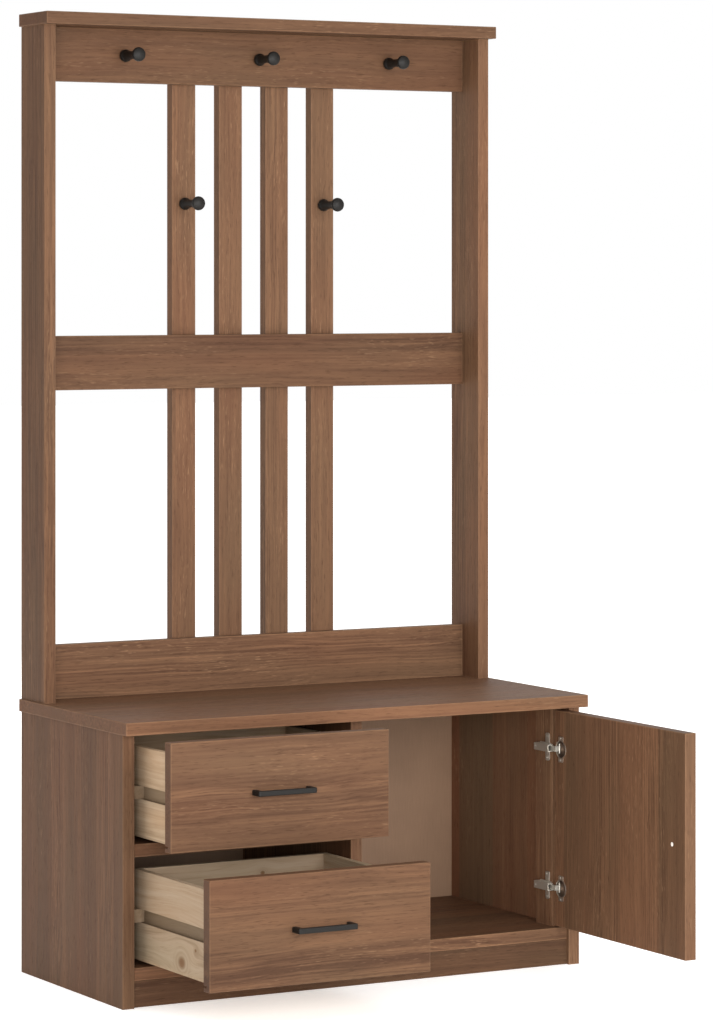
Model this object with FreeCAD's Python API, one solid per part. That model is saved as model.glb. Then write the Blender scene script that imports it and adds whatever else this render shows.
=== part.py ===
import FreeCAD, Part
import math
import os

V = FreeCAD.Vector

# Hall tree: a bench cabinet with two drawers and a hinged door, and a slatted coat rack on top.
# Frame: +X to the right, +Y to the back, +Z up. The origin is on the floor, on the centre line,
# in the plane of the cabinet's back edges. All sizes are in millimetres.
# Depths are measured from the cabinet's front edges while drawing; main() moves every node back.
# The drawers are drawn pulled out and the door is drawn open at a right angle.

# Boards
BOARD = 24.0
EASE = 1.2

# Cabinet
CABINET_WIDTH = 990.0
CABINET_DEPTH = 450.0
SEAT_HEIGHT = 528.0
SEAT_SIDE_OVERHANG = 5.0
SEAT_FRONT_OVERHANG = 25.0
INNER_SETBACK = 8.0
PLINTH_HEIGHT = 49.0
BACK_THICKNESS = 4.0
BACK_INSET = 6.0
BACK_SEAT_LAP = 12.0

# Rack
TOTAL_HEIGHT = 1850.0
UPRIGHT_DEPTH = 107.0
CAP_FRONT_OVERHANG = 22.5
RAIL_THICKNESS = 20.0
RAIL_HEIGHT = 105.0
MIDDLE_RAIL_ABOVE_SEAT = 596.0
SLAT_WIDTH = 51.0
SLAT_PITCH = 103.6
SLAT_COUNT = 4

# Coat knobs
RAIL_KNOB_PITCH = 295.0
SLAT_KNOB_ABOVE_MIDDLE = 12.0
KNOB_FOOT_R = 9.8
KNOB_BASE_R = 12.2
KNOB_BASE_LENGTH = 12.0
KNOB_NECK_R = 7.6
KNOB_NECK_PLACE = 36.0
KNOB_HEAD_R = 13.8
KNOB_HEAD_PLACE = 62.5
KNOB_HEAD_LENGTH = 10.0
KNOB_HEAD_EDGE = 1.4
KNOB_REACH = 71.5

# Drawers
FRONT_SIDE_GAP = 3.0
FRONT_BOTTOM_GAP = 2.0
FRONT_TOP_GAP = 2.0
UPPER_HOLD = 185.5
LOWER_HOLD = 32.0
BOX_BACK_GAP = 96.0
BOX_BASE_OFFSET = 7.0
BOX_TOP_OFFSET = 26.0
BOX_WALL = 12.0
BOX_BOTTOM = 4.0
BOX_SIDE_GAP = 26.0
FRONT_GROOVE_DEPTH = 12.0
FRONT_GROOVE_PLAY = 0.2
RUNNER_HEIGHT = 24.0
RUNNER_START = 26.0
RUNNER_BACK_GAP = 24.0
RUNNER_GROOVE_DEPTH = 7.0
RUNNER_SIDE_PLAY = 0.6
RUNNER_TOP_PLAY = 0.3
RUNNER_BOTTOM_PLAY = 0.7

# Bar handles
HANDLE_LENGTH = 121.0
HANDLE_STAND = 27.0
HANDLE_BAR_DEPTH = 7.0
HANDLE_HEIGHT = 10.0
HANDLE_FOOT = 9.0
HANDLE_EASE = 1.5

# Door and its hinges; the door turns about a vertical line near its outer hinge corner
DOOR_SIDE_GAP = 3.0
DOOR_BOTTOM_GAP = 4.0
DOOR_TOP_GAP = 6.0
PIVOT_FROM_EDGE = 4.5
PIVOT_FROM_FRONT = 5.5
POST_THICKNESS = 22.0
POST_DEPTH = 60.0
POST_DOOR_GAP = 3.0
HINGE_END_DISTANCE = 75.0
CUP_CENTRE_FROM_EDGE = 22.5
CUP_R = 17.5
CUP_WALL = 1.0
CUP_DEPTH = 14.5
CUP_RIM = 0.5
CUP_PLAY = 0.1
FLANGE_THICKNESS = 1.2
FLANGE_WIDTH = 16.5
FLANGE_HEIGHT = 50.0
PLATE_THICKNESS = 2.5
PLATE_BAR_HEIGHT = 16.0
PLATE_LENGTH = 38.0
PLATE_SETBACK = 2.0
WING_HEIGHT = 54.0
WING_WIDTH = 12.0
ARM_SHEET = 1.5
ARM_LINK_PLAY = 0.4
ARM_LINK_ROOM = 5.0
ARM_LINK_LAP = 2.0
ARM_NOSE_RELIEF = 2.5
LINK_THICKNESS = 3.0
LINK_HEIGHT = 10.0
LINK_PIN_R = 1.5
LINK_PIN_PLAY = 0.05
LINK_EYE_R = 2.5
LINK_PIN_FROM_EDGE = 9.8
LINK_PIN_FROM_INNER = 4.3
LINK_CRANK = 9.0
LINK_LEG = 16.3
LINK_PIN_LENGTH = 19.0
DOOR_KNOB_R = 11.5
DOOR_KNOB_LENGTH = 20.0
DOOR_KNOB_NECK_R = 6.0
DOOR_KNOB_FROM_FREE_EDGE = 44.0

# Dowels, screws and nails
DOWEL_R = 4.0
DOWEL_FACE_DEPTH = 12.0
DOWEL_END_DEPTH = 20.0
BOX_DOWEL_R = 3.0
BOX_DOWEL_FACE_DEPTH = 8.0
DOWEL_END_ROOM = 0.5
SCREW_R = 2.0
SCREW_HEAD_R = 4.0
SCREW_HEAD_LENGTH = 2.5
SMALL_SCREW_R = 1.6
SMALL_SCREW_HEAD_R = 3.2
RECESS_WIDTH = 0.9
RECESS_DEPTH = 1.2
NAIL_R = 0.8
NAIL_HEAD_R = 2.0
NAIL_HEAD_LENGTH = 0.8
NAIL_LENGTH = 18.0

# Places worked out from the sizes above
SIDE_OUTER = CABINET_WIDTH / 2
SIDE_INNER = SIDE_OUTER - BOARD
SEAT_UNDER = SEAT_HEIGHT - BOARD
FLOOR_TOP = PLINTH_HEIGHT + BOARD
BAY_HEIGHT = (SEAT_UNDER - FLOOR_TOP - BOARD) / 2
SHELF_UNDER = FLOOR_TOP + BAY_HEIGHT
SHELF_TOP = SHELF_UNDER + BOARD
CAP_UNDER = TOTAL_HEIGHT - BOARD
UPRIGHT_FRONT = CABINET_DEPTH - UPRIGHT_DEPTH
SLAT_FRONT = CABINET_DEPTH - BOARD
RAIL_FRONT = SLAT_FRONT - RAIL_THICKNESS
RAIL_BOTTOMS = {
    "top_rail": CAP_UNDER - RAIL_HEIGHT,
    "middle_rail": SEAT_HEIGHT + MIDDLE_RAIL_ABOVE_SEAT,
    "lower_rail": SEAT_HEIGHT,
}
SLAT_KNOB_HEIGHT = ((RAIL_BOTTOMS["middle_rail"] + RAIL_HEIGHT + RAIL_BOTTOMS["top_rail"]) / 2
                    + SLAT_KNOB_ABOVE_MIDDLE)
FRONT_HEIGHT = BAY_HEIGHT - FRONT_BOTTOM_GAP - FRONT_TOP_GAP
BOX_HEIGHT = FRONT_HEIGHT - BOX_BASE_OFFSET - BOX_TOP_OFFSET
BOX_LENGTH = CABINET_DEPTH - BOARD - BOX_BACK_GAP
RUNNER_LENGTH = CABINET_DEPTH - RUNNER_START - RUNNER_BACK_GAP
UPPER_PULL = BOARD + BOX_LENGTH - RUNNER_START - UPPER_HOLD
LOWER_PULL = BOARD + BOX_LENGTH - RUNNER_START - LOWER_HOLD
BAY_LEFT = -SIDE_INNER
BAY_RIGHT = -BOARD / 2
BAY_CENTRE = (BAY_LEFT + BAY_RIGHT) / 2
DOOR_HINGE_EDGE = SIDE_INNER - DOOR_SIDE_GAP
DOOR_FREE_EDGE = BOARD / 2 + DOOR_SIDE_GAP
DOOR_BOTTOM = FLOOR_TOP + DOOR_BOTTOM_GAP
DOOR_TOP = SEAT_UNDER - DOOR_TOP_GAP
PIVOT = V(DOOR_HINGE_EDGE - PIVOT_FROM_EDGE, PIVOT_FROM_FRONT, 0)
DOOR_OPEN_ANGLE = 90.0
POST_FACE = SIDE_INNER - POST_THICKNESS
POST_SETBACK = BOARD + POST_DOOR_GAP
HINGE_HEIGHTS = (DOOR_BOTTOM + HINGE_END_DISTANCE, DOOR_TOP - HINGE_END_DISTANCE)

nodes = {}


def box(low, high):
    """A box between two corners, given as (x, y, z) triples."""
    size = [b - a for a, b in zip(low, high)]
    return Part.makeBox(size[0], size[1], size[2], V(*low))


def is_along(edge, axis):
    """True for a straight edge that runs along the axis 'x', 'y' or 'z'."""
    if not isinstance(edge.Curve, Part.Line):
        return False
    direction = edge.Curve.Direction
    return abs(getattr(direction, axis)) > 0.999


def board(low, high, eased="xyz", radius=EASE):
    """A board with the edges along the named axes eased."""
    shape = box(low, high)
    edges = [edge for edge in shape.Edges if any(is_along(edge, axis) for axis in eased)]
    return shape.makeFillet(radius, edges)


def cut(shape, tools):
    """Shape with every tool removed from it."""
    tools = list(tools)
    return shape.cut(tools) if tools else shape


def turned(profile, origin, axis):
    """Revolve a closed (radius, distance) wire profile about an axis through origin."""
    face = Part.Face(profile)
    shape = face.revolve(V(0, 0, 0), V(0, 0, 1), 360)
    shape.Placement = FreeCAD.Placement(origin, FreeCAD.Rotation(V(0, 0, 1), axis))
    return shape


def line(a, b):
    """A straight edge between two (radius, distance) points of a turned profile."""
    return Part.makeLine(V(a[0], 0, a[1]), V(b[0], 0, b[1]))


def arc(a, middle, b):
    """An arc through three (radius, distance) points of a turned profile."""
    return Part.Arc(V(a[0], 0, a[1]), V(middle[0], 0, middle[1]), V(b[0], 0, b[1])).toShape()


def rod(origin, axis, radius, length):
    """A plain cylinder."""
    return Part.makeCylinder(radius, length, origin, axis)


def dowel(joint, into_end, radius=DOWEL_R, face_depth=DOWEL_FACE_DEPTH, end_depth=DOWEL_END_DEPTH):
    """A dowel across a joint and the hole it needs: (dowel, hole)."""
    start = joint - into_end * face_depth
    peg = rod(start, into_end, radius, face_depth + end_depth)
    hole_start = start - into_end * DOWEL_END_ROOM
    hole = rod(hole_start, into_end, radius, face_depth + end_depth + 2 * DOWEL_END_ROOM)
    return peg, hole


def screw(head, direction, length, radius=SCREW_R, head_radius=SCREW_HEAD_R):
    """A countersunk screw with a cross recess, flush at head, and its hole: (screw, hole)."""
    cone = Part.makeCone(head_radius, radius, SCREW_HEAD_LENGTH, head, direction)
    blank = cone.fuse(rod(head, direction, radius, length)).removeSplitter()
    side = direction.cross(V(0, 0, 1)) if abs(direction.z) < 0.5 else V(1, 0, 0)
    arms = []
    for angle in (0, 90):
        slot = Part.makeBox(2 * RECESS_WIDTH * 2, RECESS_WIDTH, RECESS_DEPTH,
                            V(-2 * RECESS_WIDTH, -RECESS_WIDTH / 2, 0))
        slot.rotate(V(0, 0, 0), V(0, 0, 1), angle)
        slot.Placement = FreeCAD.Placement(head, FreeCAD.Rotation(V(0, 0, 1), direction)).multiply(
            slot.Placement)
        arms.append(slot)
    return blank.cut(arms), blank


def split(pairs):
    """Separate a list of (piece, hole) pairs into a compound of pieces and a list of holes."""
    pieces = [piece for piece, _ in pairs]
    holes = [hole for _, hole in pairs]
    return Part.makeCompound(pieces), holes


def seat_joint_dowels():
    """Dowels between the seat and what stands under it: both sides and the divider."""
    down = V(0, 0, -1)
    columns = (-SIDE_OUTER + BOARD / 2, 0, SIDE_OUTER - BOARD / 2)
    places = [V(x, CABINET_DEPTH * share, SEAT_UNDER) for x in columns for share in (0.12, 0.5, 0.86)]
    return [dowel(place, down) for place in places]


def floor_joint_dowels():
    """Dowels from the sides into the floor board's ends, and from it up into the divider."""
    height = FLOOR_TOP - BOARD / 2
    pairs = []
    for share in (0.12, 0.5, 0.86):
        depth = CABINET_DEPTH * share
        pairs.append(dowel(V(-SIDE_INNER, depth, height), V(1, 0, 0)))
        pairs.append(dowel(V(SIDE_INNER, depth, height), V(-1, 0, 0)))
        pairs.append(dowel(V(0, depth, FLOOR_TOP), V(0, 0, 1)))
    return pairs


def shelf_joint_dowels():
    """Dowels from the left side and the divider into the shelf's ends."""
    height = SHELF_TOP - BOARD / 2
    pairs = []
    for share in (0.12, 0.86):
        depth = CABINET_DEPTH * share
        pairs.append(dowel(V(-SIDE_INNER, depth, height), V(1, 0, 0)))
        pairs.append(dowel(V(BAY_RIGHT, depth, height), V(-1, 0, 0)))
    return pairs


def plinth_joint_dowels():
    """Dowels from the sides into the ends of both plinth boards."""
    height = PLINTH_HEIGHT / 2
    pairs = []
    for depth in (INNER_SETBACK + BOARD / 2, CABINET_DEPTH - BOARD / 2):
        pairs.append(dowel(V(-SIDE_INNER, depth, height), V(1, 0, 0)))
        pairs.append(dowel(V(SIDE_INNER, depth, height), V(-1, 0, 0)))
    return pairs


def post_joint_dowels():
    """Dowels from the right side into the hinge post's outer face."""
    depth = POST_SETBACK + POST_DEPTH / 2
    heights = (FLOOR_TOP + (SEAT_UNDER - FLOOR_TOP) * share for share in (0.1, 0.5, 0.9))
    return [dowel(V(SIDE_INNER, depth, height), V(-1, 0, 0), end_depth=BOARD / 2)
            for height in heights]


def runner_spans():
    """Each runner's name, its wall plane, the way it stands out of the wall, and its underside."""
    spans = []
    for level, front_bottom in (("upper", upper_front_bottom()), ("lower", lower_front_bottom())):
        middle = front_bottom + BOX_BASE_OFFSET + BOX_HEIGHT / 2
        underside = middle - RUNNER_HEIGHT / 2
        spans.append((level + "_runner_left", BAY_LEFT, 1, underside))
        spans.append((level + "_runner_right", BAY_RIGHT, -1, underside))
    return spans


def lower_front_bottom():
    """Underside of the lower drawer's front."""
    return FLOOR_TOP + FRONT_BOTTOM_GAP


def upper_front_bottom():
    """Underside of the upper drawer's front."""
    return SHELF_TOP + FRONT_BOTTOM_GAP


def runners():
    """The four wooden runners with the screws that hold them: (boards, screws, holes)."""
    boards = {}
    pairs = []
    reach = BOX_SIDE_GAP + RUNNER_GROOVE_DEPTH - RUNNER_SIDE_PLAY
    for name, wall, way, underside in runner_spans():
        x_low, x_high = sorted((wall, wall + way * reach))
        shape = board((x_low, RUNNER_START, underside),
                      (x_high, RUNNER_START + RUNNER_LENGTH, underside + RUNNER_HEIGHT), "y")
        screws = []
        for share in (0.12, 0.55, 0.9):
            head = V(wall + way * reach, RUNNER_START + RUNNER_LENGTH * share,
                     underside + RUNNER_HEIGHT / 2)
            bite = BOARD * 2 / 3 if way > 0 else BOARD / 3
            screws.append(screw(head, V(-way, 0, 0), reach + bite))
        boards[name] = cut(shape, [hole for _, hole in screws])
        pairs += screws
    pieces, holes = split(pairs)
    return boards, pieces, holes


def back_nails():
    """Nails that hold the back panel to the sides, the seat and the floor board."""
    outside = CABINET_DEPTH + BACK_THICKNESS
    column = SIDE_OUTER - BOARD / 2
    seat_line = SEAT_UNDER + BACK_SEAT_LAP / 2
    floor_line = PLINTH_HEIGHT + BOARD / 2
    places = []
    for share in (0.2, 0.45, 0.7):
        height = floor_line + (seat_line - floor_line) * share
        places += [(-column, height), (column, height)]
    for share in (-0.85, -0.5, 0.17, 0.5, 0.85):
        places += [(column * share, seat_line), (column * share, floor_line)]
    pieces = []
    holes = []
    for x, z in places:
        shank = rod(V(x, outside, z), V(0, -1, 0), NAIL_R, NAIL_LENGTH)
        head = rod(V(x, outside, z), V(0, 1, 0), NAIL_HEAD_R, NAIL_HEAD_LENGTH)
        pieces.append(shank.fuse(head).removeSplitter())
        holes.append(shank)
    return Part.makeCompound(pieces), holes


def build_cabinet():
    """The fixed boards of the bench cabinet and their runners; returns the cabinet's dowels."""
    pairs = (seat_joint_dowels() + floor_joint_dowels() + shelf_joint_dowels()
             + plinth_joint_dowels() + post_joint_dowels())
    dowels, dowel_holes = split(pairs)
    runner_boards, nodes["runner_screws"], runner_holes = runners()
    nodes.update(runner_boards)
    nodes["back_panel_nails"], nail_holes = back_nails()
    holes = dowel_holes + nail_holes

    left = board((-SIDE_OUTER, 0, 0), (-SIDE_INNER, CABINET_DEPTH, SEAT_UNDER), "z")
    right = board((SIDE_INNER, 0, 0), (SIDE_OUTER, CABINET_DEPTH, SEAT_UNDER), "z")
    nodes["side_left"] = cut(left, holes + runner_holes)
    nodes["side_right"] = cut(right, holes)

    half_seat = SIDE_OUTER + SEAT_SIDE_OVERHANG
    seat = board((-half_seat, -SEAT_FRONT_OVERHANG, SEAT_UNDER), (half_seat, CABINET_DEPTH, SEAT_HEIGHT))
    nodes["seat_board"] = cut(seat, holes + rack_foot_holes())

    floor = board((-SIDE_INNER, INNER_SETBACK, PLINTH_HEIGHT), (SIDE_INNER, CABINET_DEPTH, FLOOR_TOP), "x")
    nodes["floor_board"] = cut(floor, holes)
    plinth = board((-SIDE_INNER, INNER_SETBACK, 0), (SIDE_INNER, INNER_SETBACK + BOARD, PLINTH_HEIGHT), "x")
    nodes["plinth"] = cut(plinth, holes)
    divider = board((-BOARD / 2, INNER_SETBACK, FLOOR_TOP), (BOARD / 2, CABINET_DEPTH, SEAT_UNDER), "z")
    nodes["divider"] = cut(divider, holes + runner_holes)
    shelf = board((BAY_LEFT, INNER_SETBACK, SHELF_UNDER), (BAY_RIGHT, CABINET_DEPTH, SHELF_TOP), "x")
    nodes["drawer_shelf"] = cut(shelf, holes)
    rear = box((-SIDE_INNER, CABINET_DEPTH - BOARD, 0), (SIDE_INNER, CABINET_DEPTH, PLINTH_HEIGHT))
    nodes["rear_plinth"] = cut(rear, holes)

    half_back = SIDE_OUTER - BACK_INSET
    back = box((-half_back, CABINET_DEPTH, PLINTH_HEIGHT + BACK_INSET),
               (half_back, CABINET_DEPTH + BACK_THICKNESS, SEAT_UNDER + BACK_SEAT_LAP))
    nodes["back_panel"] = cut(back, nail_holes)
    return dowels


def rack_foot_dowels():
    """Dowels from the seat up into both uprights."""
    column = SIDE_OUTER - BOARD / 2
    depths = (UPRIGHT_FRONT + UPRIGHT_DEPTH * share for share in (0.25, 0.78))
    return [dowel(V(x, depth, SEAT_HEIGHT), V(0, 0, 1), face_depth=DOWEL_FACE_DEPTH - 2)
            for depth in depths for x in (-column, column)]


def rack_foot_holes():
    """The holes that the rack's foot dowels need in the seat."""
    return [hole for _, hole in rack_foot_dowels()]


def rack_dowels():
    """Every dowel of the rack: feet, cap and rail ends."""
    pairs = rack_foot_dowels()
    column = SIDE_OUTER - BOARD / 2
    for share in (0.25, 0.78):
        depth = UPRIGHT_FRONT + UPRIGHT_DEPTH * share
        for x in (-column, column):
            pairs.append(dowel(V(x, depth, CAP_UNDER), V(0, 0, -1)))
    depth = RAIL_FRONT + RAIL_THICKNESS / 2
    for bottom in RAIL_BOTTOMS.values():
        for share in (0.25, 0.75):
            height = bottom + RAIL_HEIGHT * share
            pairs.append(dowel(V(-SIDE_INNER, depth, height), V(1, 0, 0)))
            pairs.append(dowel(V(SIDE_INNER, depth, height), V(-1, 0, 0)))
    return pairs


def slat_centres():
    """The middle of each slat across the rack."""
    first = -SLAT_PITCH * (SLAT_COUNT - 1) / 2
    return [first + SLAT_PITCH * i for i in range(SLAT_COUNT)]


def slat_screws():
    """Screws from behind through each slat into each rail, two at every crossing."""
    length = BOARD + RAIL_THICKNESS - 6
    pairs = []
    for x in slat_centres():
        for bottom in RAIL_BOTTOMS.values():
            for share in (0.25, 0.75):
                head = V(x, CABINET_DEPTH, bottom + RAIL_HEIGHT * share)
                pairs.append(screw(head, V(0, -1, 0), length))
    return pairs


def dome(rim_radius, rim_place, reach):
    """Profile arc of a spherical face from its rim to its middle, which lies at reach on the axis."""
    rise = reach - rim_place
    radius = (rim_radius ** 2 + rise ** 2) / (2 * rise)
    half = math.asin(rim_radius / radius) / 2
    centre = reach - radius
    middle = (radius * math.sin(half), centre + radius * math.cos(half))
    return arc((rim_radius, rim_place), middle, (0, reach))


def coat_knob(base):
    """A turned coat knob that stands out of the rack along -Y, with its base centre at base."""
    back = KNOB_HEAD_PLACE - KNOB_HEAD_LENGTH / 2
    face = KNOB_HEAD_PLACE + KNOB_HEAD_LENGTH / 2
    back_r = KNOB_HEAD_R - 2 * KNOB_HEAD_EDGE
    face_r = KNOB_HEAD_R - KNOB_HEAD_EDGE
    edges = [
        line((0, 0), (KNOB_FOOT_R, 0)),
        arc((KNOB_FOOT_R, 0), (KNOB_BASE_R, KNOB_BASE_LENGTH / 2), (KNOB_FOOT_R, KNOB_BASE_LENGTH)),
        arc((KNOB_FOOT_R, KNOB_BASE_LENGTH), (KNOB_NECK_R, KNOB_NECK_PLACE), (back_r, back)),
        arc((back_r, back), (KNOB_HEAD_R, KNOB_HEAD_PLACE), (face_r, face)),
        dome(face_r, face, KNOB_REACH),
        line((0, KNOB_REACH), (0, 0)),
    ]
    return turned(Part.Wire(edges), base, V(0, -1, 0))


def coat_knob_places():
    """Each coat knob's base centre and the thickness of the board that it stands on."""
    rail_height = RAIL_BOTTOMS["top_rail"] + RAIL_HEIGHT / 2
    places = [(V(RAIL_KNOB_PITCH * i, RAIL_FRONT, rail_height), RAIL_THICKNESS) for i in (-1, 0, 1)]
    outer_slats = (slat_centres()[0], slat_centres()[-1])
    return places + [(V(x, SLAT_FRONT, SLAT_KNOB_HEIGHT), BOARD) for x in outer_slats]


def build_rack():
    """Uprights, cap, rails, slats and coat knobs; returns the rack's dowels."""
    dowels, dowel_holes = split(rack_dowels())
    nodes["slat_screws"], screw_holes = split(slat_screws())

    knob_screws = []
    for index, (base, thickness) in enumerate(coat_knob_places()):
        pair = screw(base + V(0, thickness, 0), V(0, -1, 0), thickness + 14)
        knob_screws.append(pair)
        nodes["coat_knob_%d" % (index + 1)] = cut(coat_knob(base), [pair[1]])
    nodes["coat_knob_screws"], knob_holes = split(knob_screws)

    left = board((-SIDE_OUTER, UPRIGHT_FRONT, SEAT_HEIGHT), (-SIDE_INNER, CABINET_DEPTH, CAP_UNDER), "z")
    right = board((SIDE_INNER, UPRIGHT_FRONT, SEAT_HEIGHT), (SIDE_OUTER, CABINET_DEPTH, CAP_UNDER), "z")
    nodes["upright_left"] = cut(left, dowel_holes)
    nodes["upright_right"] = cut(right, dowel_holes)
    half_cap = SIDE_OUTER + SEAT_SIDE_OVERHANG
    cap = board((-half_cap, UPRIGHT_FRONT - CAP_FRONT_OVERHANG, CAP_UNDER),
                (half_cap, CABINET_DEPTH, TOTAL_HEIGHT))
    nodes["cap_board"] = cut(cap, dowel_holes)

    for name, bottom in RAIL_BOTTOMS.items():
        rail = board((-SIDE_INNER, RAIL_FRONT, bottom), (SIDE_INNER, SLAT_FRONT, bottom + RAIL_HEIGHT), "x")
        nodes[name] = cut(rail, dowel_holes + screw_holes + knob_holes)
    for index, x in enumerate(slat_centres()):
        slat = board((x - SLAT_WIDTH / 2, SLAT_FRONT, SEAT_HEIGHT),
                     (x + SLAT_WIDTH / 2, CABINET_DEPTH, CAP_UNDER), "z")
        nodes["slat_%d" % (index + 1)] = cut(slat, screw_holes + knob_holes)
    return dowels


def bar_handle(centre):
    """A bar handle that stands out of a front along -Y, centred at centre on the front's face."""
    half = HANDLE_LENGTH / 2
    low = HANDLE_HEIGHT / 2
    bar = box((-half, -HANDLE_STAND, -low), (half, -HANDLE_STAND + HANDLE_BAR_DEPTH, low))
    feet = [box((x, -HANDLE_STAND + HANDLE_BAR_DEPTH, -low), (x + HANDLE_FOOT, 0, low))
            for x in (-half, half - HANDLE_FOOT)]
    shape = bar.fuse(feet).removeSplitter()
    corners = [edge for edge in shape.Edges
               if is_along(edge, "z") and edge.BoundBox.YMax < -HANDLE_STAND + 0.1]
    shape = shape.makeFillet(HANDLE_EASE * 2, corners)
    front = [edge for edge in shape.Edges if edge.BoundBox.YMax < -HANDLE_STAND + 3 * HANDLE_EASE]
    front = [edge for edge in front if not is_along(edge, "z")]
    shape = shape.makeFillet(HANDLE_EASE, front)
    shape.translate(centre)
    return shape


def handle_screws(centre):
    """Screws from behind a drawer front into both feet of its handle."""
    offset = HANDLE_LENGTH / 2 - HANDLE_FOOT / 2
    heads = [centre + V(x, BOARD, 0) for x in (-offset, offset)]
    return [screw(head, V(0, -1, 0), BOARD + 12) for head in heads]


def drawer_dowels(front_back, base, left, right):
    """Dowels that join a drawer's sides to its front and to its back."""
    pairs = []
    rear = front_back + BOX_LENGTH - BOX_WALL / 2
    for share in (0.2, 0.82):
        height = base + BOX_HEIGHT * share
        for x, way in ((left, 1), (right, -1)):
            middle = x + way * BOX_WALL / 2
            inner = x + way * BOX_WALL
            pairs.append(dowel(V(middle, front_back, height), V(0, 1, 0), BOX_DOWEL_R))
            pairs.append(dowel(V(inner, rear, height), V(way, 0, 0), BOX_DOWEL_R, BOX_DOWEL_FACE_DEPTH))
    return pairs


def build_drawer(level, front_bottom, pull):
    """One drawer: front, sides, back, bottom, handle and joinery, pulled out by pull."""
    front_face = -pull
    front_back = front_face + BOARD
    base = front_bottom + BOX_BASE_OFFSET
    left = BAY_LEFT + BOX_SIDE_GAP
    right = BAY_RIGHT - BOX_SIDE_GAP
    rear = front_back + BOX_LENGTH
    wall_base = base + BOX_BOTTOM
    top = base + BOX_HEIGHT

    nodes[level + "_drawer_dowels"], holes = split(drawer_dowels(front_back, base, left, right))
    handle_centre = V(BAY_CENTRE, front_face, front_bottom + FRONT_HEIGHT / 2)
    nodes[level + "_drawer_handle_screws"], screw_holes = split(handle_screws(handle_centre))

    front_left = BAY_LEFT + FRONT_SIDE_GAP
    front_right = BAY_RIGHT - FRONT_SIDE_GAP
    front = board((front_left, front_face, front_bottom),
                  (front_right, front_back, front_bottom + FRONT_HEIGHT))
    groove = box((front_left, front_back - FRONT_GROOVE_DEPTH - FRONT_GROOVE_PLAY, base - FRONT_GROOVE_PLAY),
                 (front_right, front_back, base + BOX_BOTTOM + FRONT_GROOVE_PLAY))
    nodes[level + "_drawer_front"] = cut(front, holes + screw_holes + [groove])

    middle = base + BOX_HEIGHT / 2
    groove_low = middle - RUNNER_HEIGHT / 2 - RUNNER_BOTTOM_PLAY
    groove_high = middle + RUNNER_HEIGHT / 2 + RUNNER_TOP_PLAY
    for name, x, way in (("side_left", left, 1), ("side_right", right, -1)):
        x_low, x_high = sorted((x, x + way * BOX_WALL))
        side = box((x_low, front_back, wall_base), (x_high, rear, top))
        g_low, g_high = sorted((x, x + way * RUNNER_GROOVE_DEPTH))
        channel = box((g_low, front_back, groove_low), (g_high, rear, groove_high))
        nodes[level + "_drawer_" + name] = cut(side, holes + [channel])

    back = box((left + BOX_WALL, rear - BOX_WALL, wall_base), (right - BOX_WALL, rear, top))
    nodes[level + "_drawer_back"] = cut(back, holes)
    nodes[level + "_drawer_bottom"] = box((left, front_back - FRONT_GROOVE_DEPTH, base),
                                          (right, rear, wall_base))
    nodes[level + "_drawer_handle"] = cut(bar_handle(handle_centre), screw_holes)


def opened(shape):
    """Shape drawn for the closed door, turned to where the open door holds it."""
    shape = shape.copy()
    shape.rotate(PIVOT, V(0, 0, 1), DOOR_OPEN_ANGLE)
    return shape


def hinge_cup(height):
    """A hinge cup with its flange, drawn for the closed door; its mouth faces +Y."""
    x = DOOR_HINGE_EDGE - CUP_CENTRE_FROM_EDGE
    inner_face = BOARD
    cup = rod(V(x, inner_face - CUP_DEPTH, height), V(0, 1, 0), CUP_R, CUP_DEPTH)
    rim = rod(V(x, inner_face, height), V(0, 1, 0), CUP_R + CUP_RIM, FLANGE_THICKNESS)
    tabs = box((x - FLANGE_WIDTH / 2, inner_face, height - FLANGE_HEIGHT / 2),
               (x + FLANGE_WIDTH / 2, inner_face + FLANGE_THICKNESS, height + FLANGE_HEIGHT / 2))
    tabs = tabs.makeFillet(3, [edge for edge in tabs.Edges if is_along(edge, "y")])
    cavity = rod(V(x, inner_face - CUP_DEPTH + CUP_WALL, height), V(0, 1, 0), CUP_R - CUP_WALL,
                 CUP_DEPTH + FLANGE_THICKNESS)
    return cup.fuse([rim, tabs]).cut(cavity).removeSplitter()


def cup_screws(height):
    """The two screws through a cup's flange, drawn for the closed door."""
    x = DOOR_HINGE_EDGE - CUP_CENTRE_FROM_EDGE
    offset = FLANGE_HEIGHT / 2 - SMALL_SCREW_HEAD_R - 0.8
    heads = [V(x, BOARD + FLANGE_THICKNESS, height + z) for z in (-offset, offset)]
    return [screw(head, V(0, -1, 0), 13, SMALL_SCREW_R, SMALL_SCREW_HEAD_R) for head in heads]


def link_pin_axis():
    """The cup pin's place for the closed door."""
    return V(DOOR_HINGE_EDGE - LINK_PIN_FROM_EDGE, BOARD - LINK_PIN_FROM_INNER, 0)


def cup_pin(height):
    """The vertical pin across a cup that the link turns on, drawn for the closed door."""
    start = link_pin_axis() + V(0, 0, height - LINK_PIN_LENGTH / 2)
    return rod(start, V(0, 0, 1), LINK_PIN_R, LINK_PIN_LENGTH)


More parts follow.
